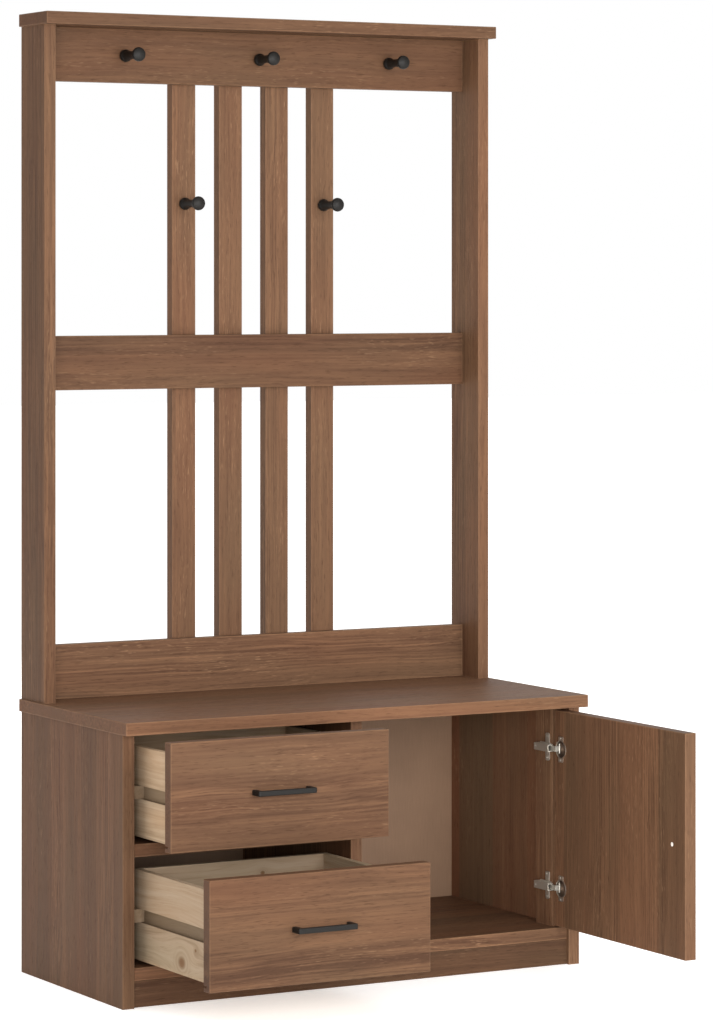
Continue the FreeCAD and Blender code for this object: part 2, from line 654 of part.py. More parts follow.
def hinge_link(height):
    """The cranked link from the cup pin into the arm, drawn for the open door."""
    pin = opened(Part.Vertex(link_pin_axis())).Point
    low = height - LINK_HEIGHT / 2
    half = LINK_THICKNESS / 2
    eye = rod(V(pin.x, pin.y, low), V(0, 0, 1), LINK_EYE_R, LINK_HEIGHT)
    crank = box((pin.x - LINK_CRANK - half, pin.y - half, low), (pin.x, pin.y + half, low + LINK_HEIGHT))
    leg = box((pin.x - LINK_CRANK - half, pin.y - half, low),
              (pin.x - LINK_CRANK + half, pin.y + LINK_LEG, low + LINK_HEIGHT))
    tip = rod(V(pin.x - LINK_CRANK, pin.y + LINK_LEG, low), V(0, 0, 1), half, LINK_HEIGHT)
    bore = rod(V(pin.x, pin.y, low), V(0, 0, 1), LINK_PIN_R + LINK_PIN_PLAY, LINK_HEIGHT)
    return eye.fuse([crank, leg, tip]).cut(bore).removeSplitter()


def arm_nose():
    """Where a hinge arm's web and its front end lie, so that it holds the link's leg."""
    pin = opened(Part.Vertex(link_pin_axis())).Point
    web = pin.x - LINK_CRANK - LINK_THICKNESS / 2 - ARM_LINK_ROOM - ARM_SHEET
    return web, pin.y + LINK_LEG + LINK_THICKNESS / 2 - ARM_LINK_LAP


def mounting_plate(height):
    """The winged plate on the hinge post."""
    front = POST_SETBACK + PLATE_SETBACK
    face = POST_FACE - PLATE_THICKNESS
    bar = box((face, front, height - PLATE_BAR_HEIGHT / 2),
              (POST_FACE, front + PLATE_LENGTH, height + PLATE_BAR_HEIGHT / 2))
    wing_front = front + 6
    wings = box((face, wing_front, height - WING_HEIGHT / 2),
                (POST_FACE, wing_front + WING_WIDTH, height + WING_HEIGHT / 2))
    wings = wings.makeFillet(4, [edge for edge in wings.Edges if is_along(edge, "x")])
    return bar.fuse(wings).removeSplitter()


def plate_screws(height):
    """The two screws through a mounting plate's wings, and the one that clamps the arm."""
    face = POST_FACE - PLATE_THICKNESS
    depth = POST_SETBACK + PLATE_SETBACK + 6 + WING_WIDTH / 2
    offset = WING_HEIGHT / 2 - SMALL_SCREW_HEAD_R - 2.5
    pairs = [screw(V(face, depth, height + z), V(1, 0, 0), 16, SMALL_SCREW_R, SMALL_SCREW_HEAD_R)
             for z in (-offset, offset)]
    web, _ = arm_nose()
    clamp_depth = POST_SETBACK + PLATE_SETBACK + PLATE_LENGTH - 7
    pairs.append(screw(V(web, clamp_depth, height), V(1, 0, 0), POST_FACE - web,
                       SMALL_SCREW_R, SMALL_SCREW_HEAD_R))
    return pairs


def hinge_arm(height):
    """The folded channel on the mounting plate; it is open towards the plate."""
    plate_face = POST_FACE - PLATE_THICKNESS
    web, front = arm_nose()
    rear = POST_SETBACK + PLATE_SETBACK + PLATE_LENGTH
    half = LINK_HEIGHT / 2 + ARM_LINK_PLAY + ARM_SHEET
    outer = box((web, front, height - half), (plate_face, rear, height + half))
    inner = box((web + ARM_SHEET, front, height - half + ARM_SHEET),
                (plate_face, rear, height + half - ARM_SHEET))
    nose = box((plate_face - ARM_NOSE_RELIEF, front, height - half),
               (plate_face, POST_SETBACK + PLATE_SETBACK + 1, height + half))
    return outer.cut([inner, nose])


def door_knob():
    """The round knob on the door's outer face, drawn for the closed door; it faces -Y."""
    reach = DOOR_KNOB_LENGTH
    rim = reach * 0.62
    foot = DOOR_KNOB_NECK_R + 2
    edges = [
        line((0, 0), (foot, 0)),
        arc((foot, 0), (DOOR_KNOB_NECK_R, rim * 0.4), (foot - 1, rim * 0.75)),
        line((foot - 1, rim * 0.75), (DOOR_KNOB_R, rim)),
        dome(DOOR_KNOB_R, rim, reach),
        line((0, reach), (0, 0)),
    ]
    base = V(DOOR_FREE_EDGE + DOOR_KNOB_FROM_FREE_EDGE, 0, (DOOR_BOTTOM + DOOR_TOP) / 2)
    return base, turned(Part.Wire(edges), base, V(0, -1, 0))


def build_door():
    """Door, knob and hinges, with the door open."""
    base, knob = door_knob()
    knob_screw, knob_hole = screw(base + V(0, BOARD, 0), V(0, -1, 0), BOARD + 12)
    nodes["door_knob_screw"] = opened(knob_screw)
    nodes["door_knob"] = opened(knob.cut(knob_hole))

    cup_pairs = [pair for height in HINGE_HEIGHTS for pair in cup_screws(height)]
    pieces, cup_holes = split(cup_pairs)
    nodes["hinge_cup_screws"] = opened(pieces)
    pocket_depth = CUP_DEPTH + CUP_PLAY
    pockets = [rod(V(DOOR_HINGE_EDGE - CUP_CENTRE_FROM_EDGE, BOARD - pocket_depth, height), V(0, 1, 0),
                   CUP_R + CUP_PLAY, pocket_depth) for height in HINGE_HEIGHTS]
    pins = [cup_pin(height) for height in HINGE_HEIGHTS]
    cups = [cut(hinge_cup(height), cup_holes + pins) for height in HINGE_HEIGHTS]
    nodes["hinge_cups"] = opened(Part.makeCompound(cups))
    nodes["hinge_cup_pins"] = opened(Part.makeCompound(pins))

    panel = board((DOOR_FREE_EDGE, 0, DOOR_BOTTOM), (DOOR_HINGE_EDGE, BOARD, DOOR_TOP))
    nodes["door_panel"] = opened(cut(panel, pockets + cup_holes + [knob_hole]))

    nodes["hinge_links"] = Part.makeCompound([hinge_link(height) for height in HINGE_HEIGHTS])
    plate_pairs = [pair for height in HINGE_HEIGHTS for pair in plate_screws(height)]
    nodes["hinge_screws"], plate_holes = split(plate_pairs)
    nodes["hinge_plates"] = Part.makeCompound([cut(mounting_plate(h), plate_holes) for h in HINGE_HEIGHTS])
    nodes["hinge_arms"] = Part.makeCompound([cut(hinge_arm(h), plate_holes) for h in HINGE_HEIGHTS])

    post = board((POST_FACE, POST_SETBACK, FLOOR_TOP),
                 (SIDE_INNER, POST_SETBACK + POST_DEPTH, SEAT_UNDER), "z")
    nodes["hinge_post"] = cut(post, plate_holes + [hole for _, hole in post_joint_dowels()])


def main():
    """Build every node and write one STEP file for each."""
    nodes["dowels"] = Part.makeCompound(build_cabinet().Solids + build_rack().Solids)
    build_drawer("upper", upper_front_bottom(), UPPER_PULL)
    build_drawer("lower", lower_front_bottom(), LOWER_PULL)
    build_door()
    os.makedirs("parts", exist_ok=True)
    for name, shape in nodes.items():
        shape.translate(V(0, -CABINET_DEPTH, 0))
        shape.exportStep(os.path.join("parts", name + ".step"))
    print("nodes written:", len(nodes))


main()
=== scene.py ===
import logging
import math
from dataclasses import dataclass, field
from enum import Enum

import bmesh
import bpy
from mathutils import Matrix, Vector


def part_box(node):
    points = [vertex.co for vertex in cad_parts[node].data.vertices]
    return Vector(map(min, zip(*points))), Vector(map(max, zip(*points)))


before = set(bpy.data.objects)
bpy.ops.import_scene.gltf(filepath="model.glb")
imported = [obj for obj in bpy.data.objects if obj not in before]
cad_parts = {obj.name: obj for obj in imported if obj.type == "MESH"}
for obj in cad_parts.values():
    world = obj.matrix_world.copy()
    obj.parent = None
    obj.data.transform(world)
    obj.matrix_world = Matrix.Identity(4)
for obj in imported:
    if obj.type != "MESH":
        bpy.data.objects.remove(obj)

logging.basicConfig(level=logging.INFO, format="%(levelname)s %(message)s")
log = logging.getLogger("hall_tree")

MM = 0.001

Tree = bpy.types.NodeTree
Node = bpy.types.Node
Socket = bpy.types.NodeSocket
Feed = Node | Socket
Given = Feed | float | tuple[float, ...]
Point = tuple[float, float, float]


def linear(code: str) -> tuple[float, float, float, float]:
    """Turn an sRGB hex colour into linear RGBA.

    Args:
        code: The colour as six hex digits.

    Returns:
        The linear colour with an alpha of one.
    """
    channels = []
    for i in (0, 2, 4):
        value = int(code[i:i + 2], 16) / 255
        channels.append(value / 12.92 if value <= 0.04045 else ((value + 0.055) / 1.055) ** 2.4)
    return (*channels, 1.0)


def feed(node: Node, *inputs: Given, **named: Given) -> None:
    """Fill a node's inputs.

    Args:
        node: The node whose inputs are filled.
        inputs: What its first inputs get, in order. A node gives its first output, a socket is linked,
            and anything else is a constant.
        named: The same by the input's name, with spaces as underscores, or by its place as i6 or i7.
    """
    for place, value in [*enumerate(inputs), *named.items()]:
        if isinstance(place, str):
            by_place = place[0] == "i" and place[1:].isdigit()
            place = int(place[1:]) if by_place else place.replace("_", " ")
        if isinstance(value, Node):
            value = value.outputs[0]
        if isinstance(value, Socket):
            node.id_data.links.new(value, node.inputs[place])
        else:
            node.inputs[place].default_value = value


def add(tree: Tree, kind: str, *inputs: Given, stops: tuple[tuple[float, str], ...] = (),
        **named: Given | str) -> Node:
    """Add a node with its settings and links.

    Args:
        tree: The tree that gets the node.
        kind: The node's type without its ShaderNode prefix, then a dot and its operation if it has one.
        inputs: What its first inputs get, as for feed.
        stops: The places of a colour ramp with their sRGB hex colours, in rising order.
        named: Its settings by their names in small letters, and further inputs as for feed.

    Returns:
        The new node.
    """
    kind, _, operation = kind.partition(".")
    node = tree.nodes.new("ShaderNode" + kind)
    if operation:
        node.operation = operation
    if stops:
        marks = node.color_ramp.elements
        marks[0].position, marks[-1].position = stops[0][0], stops[-1][0]
        for place, _ in stops[1:-1]:
            marks.new(place)
        for mark, (_, code) in zip(marks, stops):
            mark.color = linear(code)
    settings = [name for name in named if name in node.bl_rna.properties]
    for name in settings:
        setattr(node, name, named.pop(name))
    feed(node, *inputs, **named)
    return node


def per_metre(size_mm: float) -> float:
    """The pattern scale that draws a mark of this size, in millimetres."""
    return 1.0 / (size_mm * MM)


def new_material(name: str) -> tuple[bpy.types.Material, Tree, Node]:
    """Make an empty node material.

    Args:
        name: The material's name.

    Returns:
        The material, its tree and its Principled BSDF, already joined to the output.
    """
    material = bpy.data.materials.new(name)
    material.use_nodes = True
    tree = material.node_tree
    tree.nodes.clear()
    shader = add(tree, "BsdfPrincipled")
    add(tree, "OutputMaterial", shader)
    return material, tree, shader


def dress(node_name: str, material: bpy.types.Material) -> None:
    """Give a CAD node one material in place of what it came with.

    Args:
        node_name: The CAD node.
        material: The material that it gets.
    """
    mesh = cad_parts[node_name].data
    mesh.materials.clear()
    mesh.materials.append(material)
    log.info("dressed %s in %s", node_name, material.name)


class Lay(Enum):
    """How a board lies: the frame axes that run along it, across it and through it."""

    RAIL = "XZY"
    SHELF = "XYZ"
    SIDE = "ZYX"
    SLAT = "ZXY"
    RUNNER = "YZX"


@dataclass(frozen=True)
class Knot:
    """A knot in a board, placed along and across the grain in millimetres of the frame."""

    along: float
    across: float
    radius: float


@dataclass(frozen=True)
class Groove:
    """A runner groove along a drawer side, darkened with painted shade.

    It is given by its range of heights and by how far its floor lies below the face, in millimetres.
    """

    low: float
    high: float
    depth: float
    # The colour of the painted shade in the groove.
    painted_shade: str = "6B5945"


@dataclass(frozen=True)
class Figure:
    """A strip along a board where the growth bands stand out.

    It is given by its middle and by half its width, in millimetres of the frame.
    """

    across: float
    reach: float
    boost: float = 7.0


@dataclass(frozen=True)
class Timber:
    """A sawn and finished wood.

    The three tones are the pale, the middle and the dark of its growth bands; warm and cool are the
    hues that it drifts to. Sizes that end in mm are the widths of its marks across the grain, and each
    depth is how strongly that layer shows.
    """

    name: str
    pale: str
    middle: str
    dark: str
    pore: str
    # The colour of the painted glints on the pores and of the painted highlight along the arrises.
    glint: str
    warm: str
    cool: str
    band_mm: float
    streak_mm: float
    pore_mm: float
    stave_mm: float
    stave_tone: float
    band_depth: float
    streak_depth: float
    ribbon_depth: float
    pore_depth: float
    glint_depth: float
    drift_depth: float
    # How strongly the painted highlight along the arrises shows.
    edge_highlight: float
    roughness: float
    bump_mm: float


# Plantation hardwood, planed, stained walnut brown and sprayed with satin lacquer: soft sheen, open
# pores that hold the dark stain, and glued staves that differ a little in tone. The pores are drawn
# about five times as coarse as real ones, so that they show.
STAINED = Timber(
    name="stained_hardwood_satin",
    pale="74543D", middle="624633", dark="503728", pore="362418", glint="907055",
    warm="693E2A", cool="594D3A",
    band_mm=26.0, streak_mm=5.5, pore_mm=1.6, stave_mm=66.0, stave_tone=0.075,
    band_depth=0.42, streak_depth=0.42, ribbon_depth=0.55, pore_depth=0.42, glint_depth=0.42,
    drift_depth=0.15, edge_highlight=0.16,
    roughness=0.52, bump_mm=0.22,
)

# Radiata pine, planed and left bare: pale, with straw-coloured latewood lines and brown knots.
PINE = Timber(
    name="bare_pine",
    pale="B4A089", middle="A68F76", dark="8B735A", pore="745A41", glint="BDA88D",
    warm="A6825F", cool="9C8E73",
    band_mm=14.0, streak_mm=3.6, pore_mm=2.0, stave_mm=83.0, stave_tone=0.05,
    band_depth=0.75, streak_depth=0.50, ribbon_depth=0.15, pore_depth=0.12, glint_depth=0.15,
    drift_depth=0.35, edge_highlight=0.05,
    roughness=0.66, bump_mm=0.15,
)


class BoardFinish:
    """Builds the procedural material of one board, with the grain laid along it."""

    # How many times longer than wide the marks are, along the grain.
    BAND_STRETCH = 28.0
    STREAK_STRETCH = 34.0
    PORE_STRETCH = 15.0
    GLINT_STRETCH = 9.0
    RIBBON_STRETCH = 130.0
    # The widths of ribbons, of the strips that hold them, and of patches of painted glints, hue and figure.
    RIBBON_MM = 4.2
    STRIP_MM = 70.0
    GLINT_PATCH_MM = 60.0
    DRIFT_MM = 95.0
    CALM_MM = 120.0
    # How far the grain wanders across the board, in metres, and how quickly, in waves per metre.
    WANDER = 0.034
    WANDER_RATE = (2.2, 7.0, 7.0)
    # How far each board's pattern is moved by its seed.
    SEED_STEP = (1.37, 0.71, 0.43)
    # The levels of noise between which a pore, a painted glint, a patch of painted glints and a strip of
    # ribbons set in.
    PORE_SPAN = (0.60, 0.72)
    GLINT_SPAN = (0.61, 0.74)
    GLINT_PATCH_SPAN = (0.46, 0.62)
    STRIP_SPAN = (0.44, 0.58)
    # Between these levels a calm place turns lively, with its bands this weak and this strong.
    CALM_SPAN = (0.35, 0.65, 0.6, 2.2)
    # Noise keeps to the middle of its range, so the streaks and the staves' tones are widened.
    STREAK_GAIN = 1.6
    STAVE_GAIN = 4.0
    # The strength of the ribbons outside their strips, and what a strip adds to it.
    RIBBON_BASE = 0.5
    RIBBON_GAIN = 2.2
    # How much shows of the tone of end grain, of a knot's rings and heart, and of the painted shade in the
    # runner groove.
    END_DEPTH = 0.45
    RING_DEPTH = 0.55
    HEART_DEPTH = 0.75
    GROOVE_SHADE_DEPTH = 0.8
    # A knot: its hue, how drawn out it is, how far round it the grain bends and how much, how many
    # half waves of its rings fit in its radius, and from where to where, in radii, its rings and its
    # heart fade.
    KNOT_HEART = "6E4A2C"
    KNOT_SQUEEZE = 0.8
    KNOT_DECAY = -0.55
    KNOT_PULL = -1.5
    KNOT_WAVES = 5.5
    RING_FADE = (0.5, 1.5)
    HEART_FADE = (0.3, 0.52)
    # The painted shade in the runner groove begins this far below the face, is full here, and reaches this
    # far past the groove.
    GROOVE_SHADE_START_MM = 0.5
    GROOVE_SHADE_FULL_MM = 2.5
    GROOVE_SHADE_SLACK_MM = 1.0
    # The size of the patches of painted highlight along the arrises, and how far in from the arris it
    # reaches at the most.
    HIGHLIGHT_PATCH_MM = 26.32
    HIGHLIGHT_REACH_MM = 4.0
    # How the streaks and the pores change the gloss, and how they stand up and sink in.
    STREAK_GLOSS = 0.16
    PORE_GLOSS = 0.15
    STREAK_RISE = 0.6
    PORE_RISE = -0.7
    BUMP_STRENGTH = 0.8
    # Lacquer and bare wood alike have this IOR, and the open grain keeps their sheen low.
    IOR = 1.5
    SPECULAR = 0.08

    def __init__(self, timber: Timber, lay: Lay, node_name: str, seed: int,
                 knots: tuple[Knot, ...] = (), tone: float = 1.0, figure: Figure | None = None,
                 groove: Groove | None = None, contrast: float = 0.04) -> None:
        """Keep what the material depends on.

        Args:
            timber: The wood and its finish.
            lay: How the board lies.
            node_name: The CAD node that gets the material.
            seed: A number that moves the pattern, so no two boards match.
            knots: Knots in the board's face.
            tone: A factor on the board's brightness.
            figure: A strip where the growth bands stand out.
            groove: A runner groove in the board's outer face, darkened with painted shade.
            contrast: How far the hues of the glued staves differ.
        """
        self.timber = timber
        self.lay = lay
        self.node_name = node_name
        self.seed = seed
        self.knots = knots
        self.tone = tone
        self.figure = figure
        self.groove = groove
        self.contrast = contrast

    def build(self) -> bpy.types.Material:
        """Make the material.

        Returns:
            The board's own material.
        """
        timber = self.timber
        material, tree, shader = new_material(f"{timber.name}_{self.node_name}")
        place = add(tree, "TexCoord")
        axes = add(tree, "SeparateXYZ", place.outputs["Object"])
        along, across, through = (axes.outputs[axis] for axis in self.lay.value)
        across, knot_rings, knot_hearts = self._knots(tree, along, across)
        flow = self._flow(tree, along, across, through)
        streak = self._noise(tree, flow, timber.streak_mm, self.STREAK_STRETCH, detail=2.0)
        pore = self._noise(tree, flow, timber.pore_mm, self.PORE_STRETCH, detail=1.0)
        pore = add(tree, "MapRange", pore, *self.PORE_SPAN)
        stave = self._stave(tree, across)

        colour = self._bands(tree, flow, across, streak, stave)
        colour = self._hues(tree, colour, flow, stave)
        colour = self._lay_over(tree, colour, timber.pore, pore, timber.pore_depth)
        # Painted glints: short pale dashes that stand for highlights on the pores.
        colour = self._lay_over(tree, colour, timber.glint, self._glints(tree, flow), timber.glint_depth)
        colour = self._lay_over(tree, colour, timber.dark, self._end_grain(tree, place), self.END_DEPTH)
        # Painted highlight: the arrises are lightened where light catches the eased edges.
        colour = self._lay_over(tree, colour, timber.glint, self._edge_highlight_mask(tree, place), timber.edge_highlight)
        if knot_rings is not None:
            colour = self._lay_over(tree, colour, timber.dark, knot_rings, self.RING_DEPTH)
            colour = self._lay_over(tree, colour, self.KNOT_HEART, knot_hearts, self.HEART_DEPTH)
        # Painted shade: the runner groove is darkened where shade falls in it.
        if self.groove is not None:
            groove_shade = self._groove_mask(tree, place)
            colour = self._lay_over(tree, colour, self.groove.painted_shade, groove_shade, self.GROOVE_SHADE_DEPTH)
        if self.tone != 1.0:
            colour = add(tree, "HueSaturation", Value=self.tone, Color=colour)

        sheen = timber.roughness - self.STREAK_GLOSS / 2
        gloss = add(tree, "Math.MULTIPLY_ADD", streak, self.STREAK_GLOSS, sheen)
        gloss = add(tree, "Math.MULTIPLY_ADD", pore, self.PORE_GLOSS, gloss)
        height = add(tree, "Math.MULTIPLY", pore, self.PORE_RISE)
        height = add(tree, "Math.MULTIPLY_ADD", streak, self.STREAK_RISE, height)
        bump = add(tree, "Bump", Strength=self.BUMP_STRENGTH, Distance=timber.bump_mm * MM, Height=height)
        feed(shader, Base_Color=colour, Roughness=gloss, Normal=bump, IOR=self.IOR,
             Specular_IOR_Level=self.SPECULAR)
        return material

    def _flow(self, tree: Tree, along: Feed, across: Feed, through: Feed) -> Feed:
        """Bend the straight grain a little, and move it by the seed.

        Args:
            tree: The material's tree.
            along: The coordinate along the board.
            across: The coordinate across the board.
            through: The coordinate through the board.

        Returns:
            A vector whose X runs along the grain.
        """
        grain = add(tree, "CombineXYZ", along, across, through)
        moved = add(tree, "Mapping", grain, Location=tuple(self.seed * step for step in self.SEED_STEP))
        slow = add(tree, "Mapping", moved, Scale=self.WANDER_RATE)
        wander = add(tree, "TexNoise", Vector=slow, Scale=1.0, Detail=2.0)
        offset = add(tree, "Math.MULTIPLY", add(tree, "Math.SUBTRACT", wander, 0.5), self.WANDER)
        push = add(tree, "CombineXYZ", Y=offset, Z=offset)
        return add(tree, "VectorMath.ADD", moved, push)

    def _noise(self, tree: Tree, flow: Feed, width_mm: float, stretch: float, detail: float,
               shift: float = 0.0) -> Feed:
        """Noise drawn out along the grain.

        Args:
            tree: The material's tree.
            flow: The grain vector.
            width_mm: The width of one mark across the grain.
            stretch: How many times longer than wide a mark is.
            detail: The noise's detail.
            shift: A shift that keeps two layers apart.

        Returns:
            The noise, from zero to one.
        """
        across = per_metre(width_mm)
        drawn = add(tree, "Mapping", flow, Scale=(across / stretch, across, across),
                    Location=(shift, shift, shift))
        return add(tree, "TexNoise", Vector=drawn, Scale=1.0, Detail=detail, Roughness=0.55)

    def _bands(self, tree: Tree, flow: Feed, across: Feed, streak: Feed, stave: Feed) -> Feed:
        """The wood's own colour: growth bands, streaks, ribbons and the tones of the staves.

        Args:
            tree: The material's tree.
            flow: The grain vector.
            across: The coordinate across the board.
            streak: The fine streaks.
            stave: The tone of each stave.

        Returns:
            The colour.
        """
        timber = self.timber
        band = self._noise(tree, flow, timber.band_mm, self.BAND_STRETCH, detail=3.0)
        band = add(tree, "Math.SUBTRACT", band, 0.5)
        mixed = add(tree, "Math.MULTIPLY", band, self._figure_depth(tree, flow, across))
        streak = add(tree, "Math.SUBTRACT", streak, 0.5)
        mixed = add(tree, "Math.MULTIPLY_ADD", streak, timber.streak_depth * self.STREAK_GAIN, mixed)
        mixed = add(tree, "Math.MULTIPLY_ADD", self._ribbon(tree, flow), timber.ribbon_depth, mixed)
        mixed = add(tree, "Math.MULTIPLY_ADD", stave, timber.stave_tone * self.STAVE_GAIN, mixed)
        mixed = add(tree, "Math.ADD", mixed, 0.5)
        tones = ((0.08, timber.dark), (0.5, timber.middle), (0.92, timber.pale))
        return add(tree, "ValToRGB", mixed, stops=tones)

    def _figure_depth(self, tree: Tree, flow: Feed, across: Feed) -> Feed:
        """How strongly the growth bands show: calm in some places, lively in others and in the figure.

        Args:
            tree: The material's tree.
            flow: The grain vector.
            across: The coordinate across the board.

        Returns:
            A factor on the bands.
        """
        patch = self._noise(tree, flow, self.CALM_MM, 3.0, detail=1.0, shift=3.9)
        strength = add(tree, "MapRange", patch, *self.CALM_SPAN)
        if self.figure is not None:
            off = add(tree, "Math.SUBTRACT", across, self.figure.across * MM)
            off = add(tree, "Math.ABSOLUTE", off)
            lively = add(tree, "MapRange", off, 0.0, self.figure.reach * MM, self.figure.boost, 0.0)
            strength = add(tree, "Math.ADD", strength, lively)
        return add(tree, "Math.MULTIPLY", strength, self.timber.band_depth)

    def _ribbon(self, tree: Tree, flow: Feed) -> Feed:
        """Long, straight light and dark lines along the grain, in some strips of the board only.

        Args:
            tree: The material's tree.
            flow: The grain vector.

        Returns:
            The lines, light above zero and dark below.
        """
        lines = self._noise(tree, flow, self.RIBBON_MM, self.RIBBON_STRETCH, detail=1.0, shift=6.4)
        strips = self._noise(tree, flow, self.STRIP_MM, 40.0, detail=0.0, shift=1.2)
        strips = add(tree, "MapRange", strips, *self.STRIP_SPAN)
        depth = add(tree, "Math.MULTIPLY_ADD", strips, self.RIBBON_GAIN, self.RIBBON_BASE)
        return add(tree, "Math.MULTIPLY", add(tree, "Math.SUBTRACT", lines, 0.5), depth)

    def _stave(self, tree: Tree, across: Feed) -> Feed:
        """One tone for each glued stave across the board.

        Args:
            tree: The material's tree.
            across: The coordinate across the board.

        Returns:
            The tone, from minus a half to a half.
        """
        count = add(tree, "Math.MULTIPLY_ADD", across, per_metre(self.timber.stave_mm), self.seed * 0.37)
        number = add(tree, "Math.ADD", add(tree, "Math.FLOOR", count), self.seed * 3.1)
        tone = add(tree, "TexWhiteNoise", noise_dimensions="1D", W=number)
        return add(tree, "Math.SUBTRACT", tone.outputs["Value"], 0.5)

    def _hues(self, tree: Tree, colour: Feed, flow: Feed, stave: Feed) -> Feed:
        """Let the colour drift to warm and cool in large patches and from stave to stave.

        Args:
            tree: The material's tree.
            colour: The colour so far.
            flow: The grain vector.
            stave: The tone of each stave.

        Returns:
            The new colour.
        """
        timber = self.timber
        drift = self._noise(tree, flow, self.DRIFT_MM, 5.0, detail=1.0, shift=8.7)
        for code, source, start, end, depth in (
            (timber.warm, drift, 0.52, 0.70, timber.drift_depth),
            (timber.cool, drift, 0.48, 0.30, timber.drift_depth),
            (timber.warm, stave, 0.12, 0.30, self.contrast),
            (timber.cool, stave, -0.05, -0.30, self.contrast),
        ):
            colour = self._lay_over(tree, colour, code, add(tree, "MapRange", source, start, end), depth)
        return colour

    def _glints(self, tree: Tree, flow: Feed) -> Feed:
        """Short pale dashes of painted glint, which stand in patches.

        Args:
            tree: The material's tree.
            flow: The grain vector.

        Returns:
            A mask of the painted glints.
        """
        glint = self._noise(tree, flow, self.timber.pore_mm * 1.5, self.GLINT_STRETCH, detail=1.0, shift=5.3)
        patch = self._noise(tree, flow, self.GLINT_PATCH_MM, 6.0, detail=1.0, shift=2.1)
        return add(tree, "Math.MULTIPLY", add(tree, "MapRange", glint, *self.GLINT_SPAN),
                   add(tree, "MapRange", patch, *self.GLINT_PATCH_SPAN))

    def _knots(self, tree: Tree, along: Feed, across: Feed) -> tuple[Feed, Feed | None, Feed | None]:
        """Bend the grain round each knot and mark the knots.

        Args:
            tree: The material's tree.
            along: The coordinate along the board.
            across: The coordinate across the board.

        Returns:
            The bent across coordinate, a mask of the knots' rings and a mask of their hearts.
        """
        rings = None
        hearts = None
        bent = across
        for knot in self.knots:
            size = knot.radius * MM
            u = add(tree, "Math.SUBTRACT", along, knot.along * MM)
            u = add(tree, "Math.MULTIPLY", u, self.KNOT_SQUEEZE)
            v = add(tree, "Math.SUBTRACT", across, knot.across * MM)
            reach = add(tree, "Math.ADD", add(tree, "Math.MULTIPLY", u, u), add(tree, "Math.MULTIPLY", v, v))
            reach = add(tree, "Math.SQRT", reach)
            near = add(tree, "Math.MULTIPLY", reach, self.KNOT_DECAY / size)
            near = add(tree, "Math.POWER", math.e, near)
            pull = add(tree, "Math.MULTIPLY", add(tree, "Math.MULTIPLY", v, near), self.KNOT_PULL)
            bent = add(tree, "Math.ADD", bent, pull)
            wave = add(tree, "Math.MULTIPLY", reach, self.KNOT_WAVES * math.pi / size)
            wave = add(tree, "Math.SINE", wave)
            fade = add(tree, "MapRange", reach, *(size * edge for edge in self.RING_FADE), 1.0, 0.0)
            ring = add(tree, "Math.MULTIPLY", add(tree, "Math.MULTIPLY_ADD", wave, 0.35, 0.65), fade)
            heart = add(tree, "MapRange", reach, *(size * edge for edge in self.HEART_FADE), 1.0, 0.0)
            rings = ring if rings is None else add(tree, "Math.MAXIMUM", rings, ring)
            hearts = heart if hearts is None else add(tree, "Math.MAXIMUM", hearts, heart)
        return bent, rings, hearts

    def _end_grain(self, tree: Tree, place: Node) -> Feed:
        """The faces that cut across the grain.

        Args:
            tree: The material's tree.
            place: The coordinates.

        Returns:
            A mask of these faces.
        """
        normal = add(tree, "SeparateXYZ", place.outputs["Normal"])
        facing = add(tree, "Math.ABSOLUTE", normal.outputs[self.lay.value[0]])
        return add(tree, "MapRange", facing, 0.6, 0.9)

    def _groove_mask(self, tree: Tree, place: Node) -> Feed:
        """The floor and the walls of the runner groove, where the painted shade goes.

        Args:
            tree: The material's tree.
            place: The coordinates.

        Returns:
            A mask of them.
        """
        low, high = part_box(self.node_name)
        middle = (low[0] + high[0]) / 2
        half = (high[0] - low[0]) / 2
        point = add(tree, "SeparateXYZ", place.outputs["Object"])
        outwards = 1.0 if middle > self._drawer_middle() else -1.0
        below = add(tree, "Math.MULTIPLY_ADD", point.outputs["X"], -outwards, half + outwards * middle)
        inside = add(tree, "MapRange", below, self.GROOVE_SHADE_START_MM * MM, self.GROOVE_SHADE_FULL_MM * MM)
        shallow = add(tree, "Math.LESS_THAN", below, (self.groove.depth + self.GROOVE_SHADE_SLACK_MM) * MM)
        height = (self.groove.low + self.groove.high) / 2 * MM
        reach = (self.groove.high - self.groove.low) / 2 * MM
        level = add(tree, "Math.ABSOLUTE", add(tree, "Math.SUBTRACT", point.outputs["Z"], height))
        between = add(tree, "Math.LESS_THAN", level, reach + self.GROOVE_SHADE_SLACK_MM * MM)
        return add(tree, "Math.MULTIPLY", add(tree, "Math.MULTIPLY", inside, shallow), between)

    def _drawer_middle(self) -> float:
        """The middle of the drawer front that the board belongs to, across the frame."""
        low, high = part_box(self.node_name.split("_side")[0] + "_front")
        return (low[0] + high[0]) / 2

